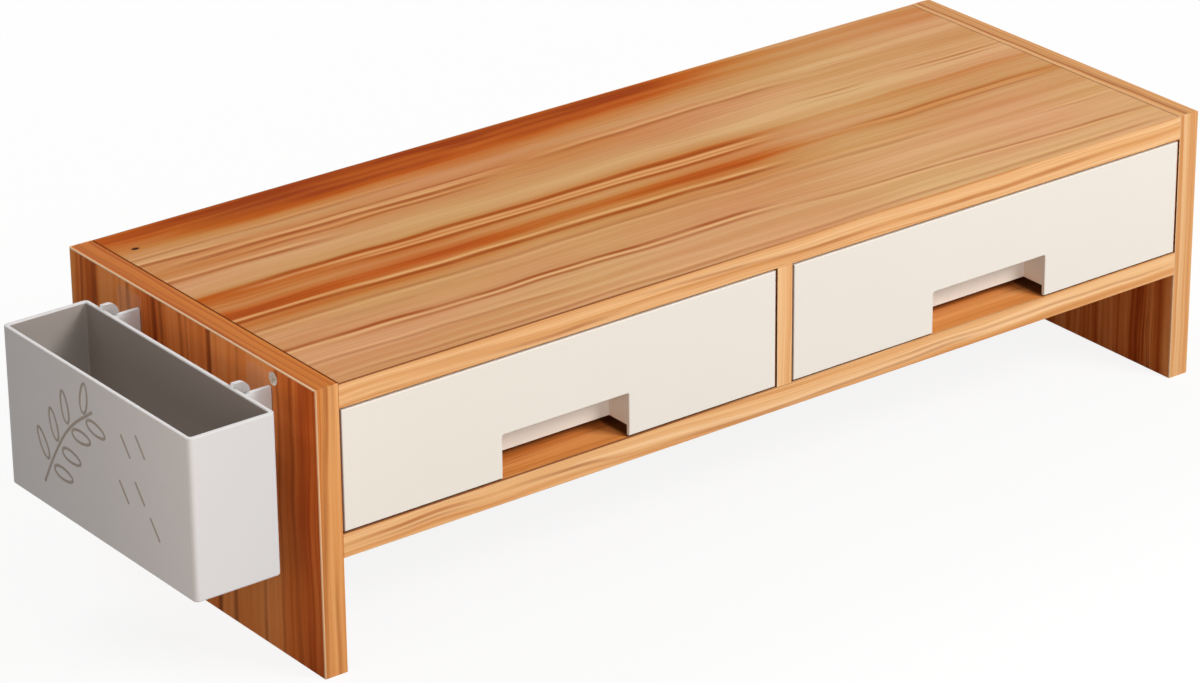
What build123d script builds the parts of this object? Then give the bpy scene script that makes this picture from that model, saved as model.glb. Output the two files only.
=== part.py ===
from build123d import *
import os

# Desktop monitor stand: a low table of printed particle board with two
# moulded drawers under its top and a pen box that hangs on the left side.
# Millimetres. +X is to the right seen from the front, the drawers open
# towards -Y, +Z is up. The origin is the middle of the whole object's
# footprint, pen box included, on the desk.

# Stand
stand_width = 520.0
stand_depth = 200.0
stand_height = 140.0
leg_clear = 56.0            # free height under the drawer shelf
board = 12.0                # top, sides and shelf
divider_board = 9.0
back_board = 3.0            # thin board behind the drawers
back_inset = 6.0            # from the rear edge to the thin board
groove_depth = 4.0
groove_gap = 0.1            # slack of the thin board in its groove, each face
edge_band = 0.8             # plastic strip glued on the board edges
band_round = 0.4
band_joint = 0.1            # butt joint between two strips
seam_chamfer = 0.4          # arris on the ends of the top board

# Screws and dowels
screw_length = 40.0
screw_shank = 4.0
screw_head = 6.4
screw_sink = 6.8            # mouth of the countersink in the board
screw_tip = 5.0
driver_slot = 0.9
driver_span = 3.6
driver_depth = 1.6
short_screw_length = 35.0
short_screw_shank = 3.5
screw_slack = 0.05          # round a shank, on the radius
top_screw_setback = 33.0    # from the front plane
shelf_screw_setbacks = (45.0, 155.0)
divider_setbacks = (45.0, 145.0)
dowel_diameter = 6.0
dowel_length = 28.0
dowel_in_side = 8.0
divider_dowel_diameter = 5.0
divider_dowel_length = 22.0
divider_dowel_in_top = 8.0
dowel_slack = 0.05
dowel_bottom_gap = 0.3      # left in the blind end of a dowel hole
top_dowel_setbacks = (100.0, 167.0)
shelf_dowel_setbacks = (100.0,)

# Drawers
drawer_side_gap = 1.0
drawer_top_gap = 1.0
drawer_bottom_gap = 0.7
tray_wall = 1.8
tray_front_wall = 1.8
tray_inset = 1.8            # body narrower than the front, each side
tray_side_drop = 9.0        # rim of the body below the top of the front
tray_corner = 6.0
rim_lip = 1.0
rim_lip_height = 1.8
stop_gap = 0.3              # rear rim to the thin board when closed
runner_height = 5.7
runner_wall = 2.0
runner_edge = 9.0           # outer runners in from the side of the body
runner_from_pocket = 8.0    # inner runners out from the pocket
notch_width = 71.0
notch_height = 21.3
notch_round = 1.2
pocket_depth = 15.0
pocket_rise = 14.0          # finger room above the notch
front_round = 0.5
floor_round = 1.2

# Pen box
box_gap = 18.5              # from the side board to the rear wall
box_depth = 44.5
box_length = 152.0
box_height = 78.0
box_setback = 3.0           # from the front plane
box_drop = 5.5              # rim below the top of the stand
box_wall = 2.2
box_floor = 2.4
box_corner = 2.5
box_inner_corner = 1.2
box_rim_round = 0.7
box_foot_round = 1.0

# Hooks of the pen box and their brackets
front_hook_inset = 31.0     # near face of the front plate, in from the end of the box
rear_hook_inset = 15.0      # near face of the rear plate, in from the far end
hook_plate = 2.0
hook_clear = 0.3
hook_reach = 16.7           # bracket plate out from the board
bracket_width = 11.0
bracket_base = 2.0
bracket_base_drop = 5.5     # base plate below the near plate, which hides it
bracket_height = 32.0
keeper_wall = 2.2
keeper_below_rim = 5.0
keeper_height = 28.0
plate_above_keeper = 0.5
far_cheek_drop = 5.0
tongue_thickness = 3.0
tongue_width = 6.0
tongue_drop = 19.5
bridge_thickness = 3.0
bridge_round = 2.0
cheek_round = 4.0           # lower outer corner of a bracket cheek
finger_slot = 1.0
finger_height = 5.5
finger_round = 5.2
root_drop = 7.5             # root of the tongue below its bridge
root_taper = 4.0
pad_thickness = 0.4
pad_width = 20.0
pad_margin = 1.0
pad_above_bracket = 6.0

# Planes that everything else is set out from
box_reach = box_gap + box_depth
left_face = (box_reach - stand_width) / 2
right_face = left_face + stand_width
front_face = -stand_depth / 2
rear_face = stand_depth / 2
middle_x = (left_face + right_face) / 2
left_inner = left_face + board
right_inner = right_face - board
top_under = stand_height - board
shelf_top = leg_clear + board
top_centre_z = stand_height - board / 2
shelf_centre_z = leg_clear + board / 2
core_front = front_face + edge_band
core_rear = rear_face - edge_band
back_rear = rear_face - back_inset
back_front = back_rear - back_board
divider_left = middle_x - divider_board / 2
divider_right = middle_x + divider_board / 2

# Places of one drawer
bay_width = divider_left - left_inner
front_width = bay_width - 2 * drawer_side_gap
front_low = shelf_top + drawer_bottom_gap
front_high = top_under - drawer_top_gap
body_width = front_width - 2 * tray_inset
body_under = shelf_top + runner_height
body_rim = front_high - tray_side_drop
tray_rear = back_front - stop_gap - rim_lip
notch_top = front_low + notch_height
pocket_roof = notch_top + pocket_rise
pocket_rear = front_face + pocket_depth
left_bay_x = (left_inner + divider_left) / 2
right_bay_x = (divider_right + right_inner) / 2

# Places of the pen box and its hooks
box_outer_x = left_face - box_reach
box_rear_x = left_face - box_gap
box_front_y = front_face + box_setback
box_rear_y = box_front_y + box_length
box_rim_z = stand_height - box_drop
box_floor_z = box_rim_z - box_height
keeper_top = box_rim_z - keeper_below_rim
plate_top = keeper_top + plate_above_keeper
bracket_low = plate_top - bracket_height
keeper_inner = hook_reach - keeper_wall
tongue_outer = keeper_inner - hook_clear
tongue_inner = tongue_outer - tongue_thickness
root_face = hook_reach + hook_clear
finger_low = plate_top + finger_slot
finger_high = finger_low + finger_height
root_low = keeper_top - root_drop - root_taper
front_hook_y = box_front_y + front_hook_inset
rear_hook_y = box_rear_y - rear_hook_inset


def block(low, high, mode=Mode.ADD):
    """A block between two corners, in the piece that is being built."""
    size = [b - a for a, b in zip(low, high)]
    with Locations(tuple(low)):
        Box(*size, align=(Align.MIN, Align.MIN, Align.MIN), mode=mode)


def drill(origin, outward, diameter, depth):
    """A blind hole from origin into the piece, against the outward direction."""
    with Locations(Plane(origin=origin, z_dir=outward)):
        Hole(radius=diameter / 2, depth=depth)


def drill_for_screw(origin, outward):
    """A screw's through hole with its countersink."""
    with Locations(Plane(origin=origin, z_dir=outward)):
        CounterSinkHole(
            radius=screw_shank / 2 + screw_slack,
            counter_sink_radius=screw_sink / 2,
            depth=board,
        )


def setback(distances):
    """Y places from distances behind the front plane."""
    return [front_face + distance for distance in distances]


# Top board, between the two sides
with BuildPart() as top_panel:
    block((left_inner, core_front, top_under), (right_inner, core_rear, stand_height))
    top_ends = top_panel.edges().group_by(Axis.Z)[-1].filter_by(Axis.Y)
    chamfer(top_ends, seam_chamfer)
    block(
        (left_inner, back_front - groove_gap, top_under),
        (right_inner, back_rear + groove_gap, top_under + groove_depth),
        Mode.SUBTRACT,
    )
    for end_x, outward in ((left_inner, (-1, 0, 0)), (right_inner, (1, 0, 0))):
        drill(
            (end_x, front_face + top_screw_setback, top_centre_z),
            outward,
            screw_shank + 2 * screw_slack,
            screw_length - board + dowel_bottom_gap,
        )
        for y in setback(top_dowel_setbacks):
            drill(
                (end_x, y, top_centre_z),
                outward,
                dowel_diameter + 2 * dowel_slack,
                dowel_length - dowel_in_side + dowel_bottom_gap,
            )
    for y in setback(divider_setbacks):
        drill(
            (middle_x, y, top_under),
            (0, 0, -1),
            divider_dowel_diameter + 2 * dowel_slack,
            divider_dowel_in_top + dowel_bottom_gap,
        )
top_panel.part.label = "top_panel"

# Shelf that the drawers run on
with BuildPart() as drawer_shelf:
    block((left_inner, core_front, leg_clear), (right_inner, core_rear, shelf_top))
    block(
        (left_inner, back_front - groove_gap, shelf_top - groove_depth),
        (right_inner, back_rear + groove_gap, shelf_top),
        Mode.SUBTRACT,
    )
    for end_x, outward in ((left_inner, (-1, 0, 0)), (right_inner, (1, 0, 0))):
        for y in setback(shelf_screw_setbacks):
            drill(
                (end_x, y, shelf_centre_z),
                outward,
                screw_shank + 2 * screw_slack,
                screw_length - board + dowel_bottom_gap,
            )
        for y in setback(shelf_dowel_setbacks):
            drill(
                (end_x, y, shelf_centre_z),
                outward,
                dowel_diameter + 2 * dowel_slack,
                dowel_length - dowel_in_side + dowel_bottom_gap,
            )
    for y in setback(divider_setbacks):
        with Locations(Plane(origin=(middle_x, y, leg_clear), z_dir=(0, 0, -1))):
            CounterSinkHole(
                radius=short_screw_shank / 2 + screw_slack,
                counter_sink_radius=screw_sink / 2,
                depth=board,
            )
drawer_shelf.part.label = "drawer_shelf"


def side_panel(outer_x, inner_x):
    """A side board from the desk to the top, drilled and grooved inside."""
    outward = -1 if outer_x < inner_x else 1
    with BuildPart() as side:
        block(
            (min(outer_x, inner_x), core_front, 0),
            (max(outer_x, inner_x), core_rear, stand_height - edge_band),
        )
        groove_x = inner_x + outward * groove_depth
        block(
            (min(inner_x, groove_x), back_front - groove_gap, shelf_top - groove_depth),
            (max(inner_x, groove_x), back_rear + groove_gap, top_under + groove_depth),
            Mode.SUBTRACT,
        )
        drill_for_screw(
            (outer_x, front_face + top_screw_setback, top_centre_z), (outward, 0, 0)
        )
        for y in setback(shelf_screw_setbacks):
            drill_for_screw((outer_x, y, shelf_centre_z), (outward, 0, 0))
        for y in setback(top_dowel_setbacks):
            drill(
                (inner_x, y, top_centre_z),
                (-outward, 0, 0),
                dowel_diameter + 2 * dowel_slack,
                dowel_in_side + dowel_bottom_gap,
            )
        for y in setback(shelf_dowel_setbacks):
            drill(
                (inner_x, y, shelf_centre_z),
                (-outward, 0, 0),
                dowel_diameter + 2 * dowel_slack,
                dowel_in_side + dowel_bottom_gap,
            )
    return side


left_side_panel = side_panel(left_face, left_inner)
left_side_panel.part.label = "left_side_panel"
right_side_panel = side_panel(right_face, right_inner)
right_side_panel.part.label = "right_side_panel"

# Upright board between the two drawers
with BuildPart() as centre_divider:
    block(
        (divider_left, core_front, shelf_top),
        (divider_right, back_front - groove_gap, top_under),
    )
    for y in setback(divider_setbacks):
        drill(
            (middle_x, y, shelf_top),
            (0, 0, -1),
            short_screw_shank + 2 * screw_slack,
            short_screw_length - board + dowel_bottom_gap,
        )
        drill(
            (middle_x, y, top_under),
            (0, 0, 1),
            divider_dowel_diameter + 2 * dowel_slack,
            divider_dowel_length - divider_dowel_in_top + dowel_bottom_gap,
        )
centre_divider.part.label = "centre_divider"

# Thin board behind the drawers, held in grooves on its four edges
with BuildPart() as back_panel:
    block(
        (
            left_inner - groove_depth + groove_gap,
            back_front,
            shelf_top - groove_depth + groove_gap,
        ),
        (
            right_inner + groove_depth - groove_gap,
            back_rear,
            top_under + groove_depth - groove_gap,
        ),
    )
back_panel.part.label = "back_panel"


def edge_strip(low, high, outer_face):
    """One edge band, with the two long edges of its outer face rounded."""
    axis, index = outer_face
    with BuildPart() as strip:
        block(low, high)
        face = strip.faces().sort_by(axis)[index]
        fillet(face.edges().sort_by(SortBy.LENGTH)[-2:], band_round)
    return strip.part


front_of = (Axis.Y, 0)
rear_of = (Axis.Y, -1)
top_of = (Axis.Z, -1)


def board_bands(low_z, high_z, rear_x_low, rear_x_high):
    """Front and rear bands of a flat board, as two strips."""
    front_strip = edge_strip(
        (rear_x_low, front_face, low_z), (rear_x_high, core_front, high_z), front_of
    )
    rear_strip = edge_strip(
        (rear_x_low, core_rear, low_z), (rear_x_high, rear_face, high_z), rear_of
    )
    return front_strip, rear_strip


top_strips = board_bands(top_under, stand_height, left_inner, right_inner)
shelf_strips = board_bands(leg_clear, shelf_top, left_inner, right_inner)

with BuildPart() as top_front_edge_band:
    add(top_strips[0])
top_front_edge_band.part.label = "top_front_edge_band"

with BuildPart() as top_rear_edge_band:
    add(top_strips[1])
top_rear_edge_band.part.label = "top_rear_edge_band"

with BuildPart() as shelf_front_edge_band:
    add(shelf_strips[0])
shelf_front_edge_band.part.label = "shelf_front_edge_band"

with BuildPart() as shelf_rear_edge_band:
    add(shelf_strips[1])
shelf_rear_edge_band.part.label = "shelf_rear_edge_band"

divider_strip = edge_strip(
    (divider_left, front_face, shelf_top), (divider_right, core_front, top_under), front_of
)
with BuildPart() as divider_edge_band:
    add(divider_strip)
divider_edge_band.part.label = "divider_edge_band"


def side_bands(x_low, x_high):
    """Front, rear and top bands of a side board, as three strips."""
    front_strip = edge_strip(
        (x_low, front_face, 0), (x_high, core_front, stand_height), front_of
    )
    rear_strip = edge_strip(
        (x_low, core_rear, 0), (x_high, rear_face, stand_height), rear_of
    )
    top_strip = edge_strip(
        (x_low, core_front + band_joint, stand_height - edge_band),
        (x_high, core_rear - band_joint, stand_height),
        top_of,
    )
    with BuildPart() as bands:
        add(front_strip)
        add(rear_strip)
        add(top_strip)
    return bands


left_side_edge_bands = side_bands(left_face, left_inner)
left_side_edge_bands.part.label = "left_side_edge_bands"
right_side_edge_bands = side_bands(right_inner, right_face)
right_side_edge_bands.part.label = "right_side_edge_bands"


def countersunk_screw(length, shank):
    """A cross-head wood screw whose head lies at the origin and points up."""
    head_depth = (screw_head - shank) / 2
    with BuildPart() as screw:
        with BuildSketch(Plane.XZ):
            with BuildLine():
                Polyline(
                    (0, 0),
                    (screw_head / 2, 0),
                    (shank / 2, -head_depth),
                    (shank / 2, -(length - screw_tip)),
                    (0, -length),
                    (0, 0),
                )
            make_face()
        revolve(axis=Axis.Z)
        with BuildSketch(Plane.XY.offset(-driver_depth)):
            Rectangle(driver_span, driver_slot)
            Rectangle(driver_slot, driver_span)
        extrude(amount=driver_depth, mode=Mode.SUBTRACT)
    return screw.part


board_screw = countersunk_screw(screw_length, screw_shank)
divider_screw = countersunk_screw(short_screw_length, short_screw_shank)


def side_screws(outer_x, outward):
    """The screws through one side board, a group of separate screws."""
    places = [(outer_x, front_face + top_screw_setback, top_centre_z)]
    for y in setback(shelf_screw_setbacks):
        places.append((outer_x, y, shelf_centre_z))
    with BuildPart() as screws:
        with Locations(*[Plane(origin=p, z_dir=(outward, 0, 0)) for p in places]):
            add(board_screw)
    return screws


left_side_screws = side_screws(left_face, -1)
left_side_screws.part.label = "left_side_screws"
right_side_screws = side_screws(right_face, 1)
right_side_screws.part.label = "right_side_screws"

with BuildPart() as divider_screws:
    screw_planes = [
        Plane(origin=(middle_x, y, leg_clear), z_dir=(0, 0, -1))
        for y in setback(divider_setbacks)
    ]
    with Locations(*screw_planes):
        add(divider_screw)
divider_screws.part.label = "divider_screws"


def side_dowels(setbacks, z):
    """Blind dowels between both ends of a board and the two sides."""
    with BuildPart() as dowels:
        for start_x in (left_inner - dowel_in_side, right_inner + dowel_in_side - dowel_length):
            for y in setback(setbacks):
                with Locations(Plane(origin=(start_x, y, z), z_dir=(1, 0, 0))):
                    Cylinder(
                        dowel_diameter / 2,
                        dowel_length,
                        align=(Align.CENTER, Align.CENTER, Align.MIN),
                    )
    return dowels


top_panel_dowels = side_dowels(top_dowel_setbacks, top_centre_z)
top_panel_dowels.part.label = "top_panel_dowels"
shelf_dowels = side_dowels(shelf_dowel_setbacks, shelf_centre_z)
shelf_dowels.part.label = "shelf_dowels"

with BuildPart() as divider_dowels:
    dowel_low = top_under + divider_dowel_in_top - divider_dowel_length
    with Locations(*[(middle_x, y, dowel_low) for y in setback(divider_setbacks)]):
        Cylinder(
            divider_dowel_diameter / 2,
            divider_dowel_length,
            align=(Align.CENTER, Align.CENTER, Align.MIN),
        )
divider_dowels.part.label = "divider_dowels"


def tray_outline(centre_x, height, spread, front_y):
    """Plan of a tray's body at one height, grown by spread, rear corners round."""
    rear_y = tray_rear + spread
    with BuildSketch(Plane.XY.offset(height)) as outline:
        with Locations((centre_x, (front_y + rear_y) / 2)):
            Rectangle(body_width + 2 * spread, rear_y - front_y)
        fillet(outline.vertices().group_by(Axis.Y)[-1], tray_corner + spread)
    return outline.sketch


def tray_space(centre_x):
    """The hollow of a drawer, with a rounded edge round its floor."""
    floor_z = body_under + tray_wall
    outline = tray_outline(centre_x, floor_z, -tray_wall, front_face + tray_front_wall)
    with BuildPart() as space:
        extrude(outline, amount=body_rim - floor_z)
        fillet(space.faces().sort_by(Axis.Z)[0].edges(), floor_round)
    return space.part


def drawer_tray(centre_x):
    """A moulded drawer: flat front, open body, finger pocket and runners."""
    front_rear = front_face + tray_front_wall
    pocket_half = notch_width / 2
    inner_runner = pocket_half + tray_wall + runner_from_pocket
    outer_runner = body_width / 2 - runner_edge
    with BuildPart() as tray:
        extrude(
            tray_outline(centre_x, body_under, 0, front_face),
            amount=body_rim - body_under,
        )
        extrude(
            tray_outline(centre_x, body_rim - rim_lip_height, rim_lip, front_face),
            amount=rim_lip_height,
        )
        add(tray_space(centre_x), mode=Mode.SUBTRACT)
        block(
            (centre_x - front_width / 2, front_face, front_low),
            (centre_x + front_width / 2, front_rear, front_high),
        )
        block(
            (centre_x - pocket_half - tray_wall, front_rear, body_under),
            (centre_x + pocket_half + tray_wall, pocket_rear + tray_wall, pocket_roof + tray_wall),
        )
        block(
            (centre_x - pocket_half, front_rear, body_under),
            (centre_x + pocket_half, pocket_rear, pocket_roof),
            Mode.SUBTRACT,
        )
        notch_plane = Plane(
            origin=(centre_x, front_rear, front_low), x_dir=(1, 0, 0), z_dir=(0, -1, 0)
        )
        with BuildSketch(notch_plane) as notch:
            Rectangle(notch_width, 2 * notch_height)
            fillet(notch.vertices().group_by(Axis.Y)[-1], notch_round)
        extrude(amount=tray_front_wall, mode=Mode.SUBTRACT)
        for offset in (-outer_runner, -inner_runner, inner_runner, outer_runner):
            block(
                (centre_x + offset - runner_wall / 2, front_rear, shelf_top),
                (centre_x + offset + runner_wall / 2, tray_rear - tray_corner, body_under),
            )
        front = tray.faces().sort_by(Axis.Y)[0]
        fillet(front.outer_wire().edges(), front_round)
    return tray


left_drawer_tray = drawer_tray(left_bay_x)
left_drawer_tray.part.label = "left_drawer_tray"
right_drawer_tray = drawer_tray(right_bay_x)
right_drawer_tray.part.label = "right_drawer_tray"


def hook_plane(y):
    """Side view of a hook: first axis out from the side board, second axis up."""
    return Plane(origin=(left_face, y, 0), x_dir=(-1, 0, 0), z_dir=(0, 1, 0))


def finger_profile(near_y):
    """Rounded rib on the near side of a hook, which shows above the bracket."""
    root = box_gap + box_wall / 2
    with BuildSketch(hook_plane(near_y)) as profile:
        with BuildLine():
            Polyline(
                (root, root_low),
                (root, finger_high),
                (tongue_inner + finger_round, finger_high),
            )
            RadiusArc(
                (tongue_inner + finger_round, finger_high),
                (tongue_inner, finger_high - finger_round),
                -finger_round,
            )
            Polyline(
                (tongue_inner, finger_high - finger_round),
                (tongue_inner, finger_low),
                (root_face, finger_low),
                (root_face, root_low + root_taper),
                (box_gap, root_low),
                (root, root_low),
            )
        make_face()
    return profile.sketch


def tongue_profile(near_y):
    """Inverted J that goes over the keeper of the bracket and down behind it."""
    root = box_gap + box_wall / 2
    bridge_top = keeper_top + bridge_thickness
    with BuildSketch(hook_plane(near_y)) as profile:
        with BuildLine():
            Polyline(
                (root, root_low),
                (root, bridge_top),
                (tongue_inner + bridge_round, bridge_top),
            )
            RadiusArc(
                (tongue_inner + bridge_round, bridge_top),
                (tongue_inner, bridge_top - bridge_round),
                -bridge_round,
            )
            Polyline(
                (tongue_inner, bridge_top - bridge_round),
                (tongue_inner, keeper_top - tongue_drop),
                (tongue_outer, keeper_top - tongue_drop),
                (tongue_outer, keeper_top),
                (root_face, keeper_top),
                (root_face, root_low + root_taper),
                (box_gap, root_low),
                (root, root_low),
            )
        make_face()
    return profile.sketch


# Pen box that hangs on the left side
box_middle = ((box_outer_x + box_rear_x) / 2, (box_front_y + box_rear_y) / 2)

with BuildPart() as box_space:
    with BuildSketch(Plane.XY.offset(box_floor_z + box_floor)):
        with Locations(box_middle):
            RectangleRounded(
                box_depth - 2 * box_wall, box_length - 2 * box_wall, box_inner_corner
            )
    extrude(amount=box_height - box_floor)
    fillet(box_space.faces().sort_by(Axis.Z)[0].edges(), box_foot_round)

with BuildPart() as pen_box:
    with BuildSketch(Plane.XY.offset(box_floor_z)):
        with Locations(box_middle):
            RectangleRounded(box_depth, box_length, box_corner)
    extrude(amount=box_height)
    fillet(pen_box.faces().sort_by(Axis.Z)[0].edges(), box_foot_round)
    add(box_space.part, mode=Mode.SUBTRACT)
    fillet(pen_box.faces().sort_by(Axis.Z)[-1].edges(), box_rim_round)
    for hook_y in (front_hook_y, rear_hook_y):
        finger_width = hook_plate + hook_clear
        extrude(finger_profile(hook_y), amount=finger_width)
        extrude(tongue_profile(hook_y + finger_width), amount=tongue_width)
pen_box.part.label = "pen_box"


def hook_bracket(near_y):
    """Bracket that holds one hook: base, two cheeks and the keeper wall."""
    far_y = near_y + bracket_width
    base_x = left_face - pad_thickness
    with BuildPart() as bracket:
        block(
            (base_x - bracket_base, near_y, bracket_low),
            (base_x, far_y, plate_top - bracket_base_drop),
        )
        block(
            (left_face - hook_reach, near_y, keeper_top - keeper_height),
            (left_face - keeper_inner, far_y, keeper_top),
        )
        cheeks = ((near_y, plate_top), (far_y - hook_plate, plate_top - far_cheek_drop))
        for cheek_y, cheek_top in cheeks:
            with BuildSketch(hook_plane(cheek_y)) as cheek:
                with Locations(((pad_thickness + hook_reach) / 2, (bracket_low + cheek_top) / 2)):
                    Rectangle(hook_reach - pad_thickness, cheek_top - bracket_low)
                lower_corner = cheek.vertices().group_by(Axis.Y)[0].sort_by(Axis.X)[-1]
                fillet(lower_corner, cheek_round)
            extrude(amount=hook_plate)
    return bracket


front_hook_bracket = hook_bracket(front_hook_y)
front_hook_bracket.part.label = "front_hook_bracket"
rear_hook_bracket = hook_bracket(rear_hook_y)
rear_hook_bracket.part.label = "rear_hook_bracket"


def adhesive_pad(near_y):
    """Clear double-sided film between a bracket and the side board."""
    with BuildPart() as pad:
        block(
            (left_face - pad_thickness, near_y - pad_margin, bracket_low - pad_margin),
            (left_face, near_y - pad_margin + pad_width, plate_top + pad_above_bracket),
        )
    return pad


front_adhesive_pad = adhesive_pad(front_hook_y)
front_adhesive_pad.part.label = "front_adhesive_pad"
rear_adhesive_pad = adhesive_pad(rear_hook_y)
rear_adhesive_pad.part.label = "rear_adhesive_pad"

pieces = [
    top_panel,
    left_side_panel,
    right_side_panel,
    drawer_shelf,
    centre_divider,
    back_panel,
    top_front_edge_band,
    top_rear_edge_band,
    shelf_front_edge_band,
    shelf_rear_edge_band,
    divider_edge_band,
    left_side_edge_bands,
    right_side_edge_bands,
    left_side_screws,
    right_side_screws,
    divider_screws,
    top_panel_dowels,
    shelf_dowels,
    divider_dowels,
    left_drawer_tray,
    right_drawer_tray,
    pen_box,
    front_hook_bracket,
    rear_hook_bracket,
    front_adhesive_pad,
    rear_adhesive_pad,
]

os.makedirs("parts", exist_ok=True)
for piece in pieces:
    export_step(piece.part, f"parts/{piece.part.label}.step")
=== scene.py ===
# %% [markdown]
# # A monitor stand with two drawers and a hanging pen box
# The object is a low table of printed particle board. Two moulded drawers slide under its top, and a thin
# grey pen box hangs on its left side. Its boards, drawers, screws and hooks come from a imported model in
# real size. This lesson dresses them: printed wood, edge bands, moulded plastic, a pressed drawing.

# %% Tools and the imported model
import math

import bpy
from mathutils import Color, Matrix, Vector


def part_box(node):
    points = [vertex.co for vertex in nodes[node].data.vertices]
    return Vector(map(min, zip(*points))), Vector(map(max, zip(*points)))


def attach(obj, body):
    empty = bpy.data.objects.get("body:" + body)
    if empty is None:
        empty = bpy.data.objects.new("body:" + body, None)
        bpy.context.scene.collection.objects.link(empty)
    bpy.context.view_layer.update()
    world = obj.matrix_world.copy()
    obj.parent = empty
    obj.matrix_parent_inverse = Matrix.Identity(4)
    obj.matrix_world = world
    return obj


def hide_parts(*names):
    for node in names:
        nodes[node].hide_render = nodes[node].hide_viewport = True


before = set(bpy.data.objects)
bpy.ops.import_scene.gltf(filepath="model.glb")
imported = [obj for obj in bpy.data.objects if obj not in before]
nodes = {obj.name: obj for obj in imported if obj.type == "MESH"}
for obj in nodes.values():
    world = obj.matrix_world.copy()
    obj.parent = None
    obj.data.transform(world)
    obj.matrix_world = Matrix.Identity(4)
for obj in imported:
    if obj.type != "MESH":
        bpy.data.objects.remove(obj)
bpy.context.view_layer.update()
MM = 0.001

# %% [markdown]
# ## Measures taken from the model
# Every place below is read from the boards themselves, so the finish follows when a board is made longer.
# A box gives the lowest and the highest corner of one node.

# %% Measures
top_low, top_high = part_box("top_panel")
left_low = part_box("left_side_panel")[0]
bands_low, bands_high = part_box("left_side_edge_bands")
right_low, right_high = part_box("right_side_panel")
pen_low, pen_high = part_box("pen_box")
stand_left = bands_low.x
stand_front = bands_low.y
stand_rear = bands_high.y
stand_top = bands_high.z
stand_right = right_high.x
stand_depth = stand_rear - stand_front
print("stand:", round(stand_right - stand_left, 4), round(stand_depth, 4), round(stand_top, 4))

# %% [markdown]
# ## The camera
# The photograph was taken with a long lens, from the left front and above. A long lens keeps edges nearly
# parallel. The place and the angles below were worked out from the straight edges of the stand. The camera
# starts by looking straight down, so it is rolled first, then tilted up, and last turned to the right.

# %% Camera
camera_from_corner = Vector((-1.0359, -1.5698, 1.0135))
camera_yaw = math.radians(37.14)
camera_pitch = math.radians(24.40)
camera_roll = math.radians(-0.53)
camera_lens = 145.14
camera_sensor = 36.0

bpy.ops.object.camera_add()
camera = bpy.context.object
camera.name = "camera"
rolled = Matrix.Rotation(camera_roll, 4, "Z")
tilted = Matrix.Rotation(math.pi / 2.0 - camera_pitch, 4, "X") @ rolled
turned = Matrix.Rotation(-camera_yaw, 4, "Z") @ tilted
corner = Vector((stand_left, stand_front, 0.0))
camera.matrix_world = Matrix.Translation(corner + camera_from_corner) @ turned
camera.data.lens = camera_lens
camera.data.sensor_width = camera_sensor
camera.data.clip_end = 30.0
bpy.context.scene.camera = camera
print("camera at", [round(v, 3) for v in camera.matrix_world.translation])

# %% [markdown]
# ## Shaders from small helpers
# A material is a net of nodes, and small helpers keep the net readable. The first of them add a node and
# fill its inputs, and the others do one sum or one step each. Colours are written as they look on a screen,
# and a helper turns them into the linear values that Blender works with.

# %% Helpers for nodes and colours
def linear(red, green, blue):
    """A screen colour, 0 to 255, as linear values."""
    screen = Color((red / 255.0, green / 255.0, blue / 255.0))
    return (*screen.from_srgb_to_scene_linear(), 1.0)


def grey(value):
    """A grey of one linear value."""
    return (value, value, value, 1.0)


def linear_all(*colours):
    """The colours of a print, from the palest to the darkest."""
    return [linear(*colour) for colour in colours]


def fill(net, node, inputs):
    """Sets a node's inputs; each one is a value or another node's output."""
    for name, value in inputs.items():
        if isinstance(value, bpy.types.NodeSocket):
            net.links.new(value, node.inputs[name])
        else:
            node.inputs[name].default_value = value


def put(net, kind, inputs=None, **settings):
    """Adds a shader node of a kind to a net, with its settings and inputs."""
    made = net.nodes.new("ShaderNode" + kind)
    for name, value in settings.items():
        setattr(made, name, value)
    fill(net, made, inputs or {})
    return made


def calc(net, operation, *values, clamp=False):
    """One Math node; returns its output."""
    return put(net, "Math", dict(enumerate(values)), operation=operation, use_clamp=clamp).outputs[0]


def times(net, product, *others):
    """Two or more values multiplied."""
    for other in others:
        product = calc(net, "MULTIPLY", product, other)
    return product


def minus(net, first, second):
    """The second value taken from the first."""
    return calc(net, "SUBTRACT", first, second)


def above(net, first, second):
    """1 where the first value is greater than the second, else 0."""
    return calc(net, "GREATER_THAN", first, second)


def varied(net, base, mask, share):
    """A value that a mask from 0 to 1 moves down and up by half a share."""
    return calc(net, "MULTIPLY_ADD", minus(net, mask, 0.5), share, base)


def split(net, vector):
    """The three parts of a vector."""
    return put(net, "SeparateXYZ", {0: vector}).outputs


def object_place(net):
    """Where a point lies, in metres, while every body rests."""
    return put(net, "TexCoord").outputs["Object"]


def looking(net, axis):
    """How far a face looks along one axis, from -1 to 1."""
    return split(net, put(net, "NewGeometry").outputs["True Normal"])[axis]


def blend(net, factor, first, second, kind="MIX"):
    """One Mix node for colours; returns its output."""
    inputs = {"Factor": factor, 6: first, 7: second}
    return put(net, "Mix", inputs, data_type="RGBA", blend_type=kind).outputs[2]


def multiplied(net, first, second):
    """Two colours multiplied."""
    return blend(net, 1.0, first, second, "MULTIPLY")


def shaded(net, colour, level):
    """A colour made darker or lighter by one value."""
    return multiplied(net, colour, put(net, "CombineColor", {0: level, 1: level, 2: level}).outputs[0])


def spread(net, value, low, high, out_low=0.0, out_high=1.0, smooth=True):
    """Maps low..high to out_low..out_high, clamped."""
    kind = "SMOOTHSTEP" if smooth else "LINEAR"
    inputs = {"Value": value, "From Min": low, "From Max": high, "To Min": out_low, "To Max": out_high}
    return put(net, "MapRange", inputs, interpolation_type=kind).outputs[0]


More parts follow.
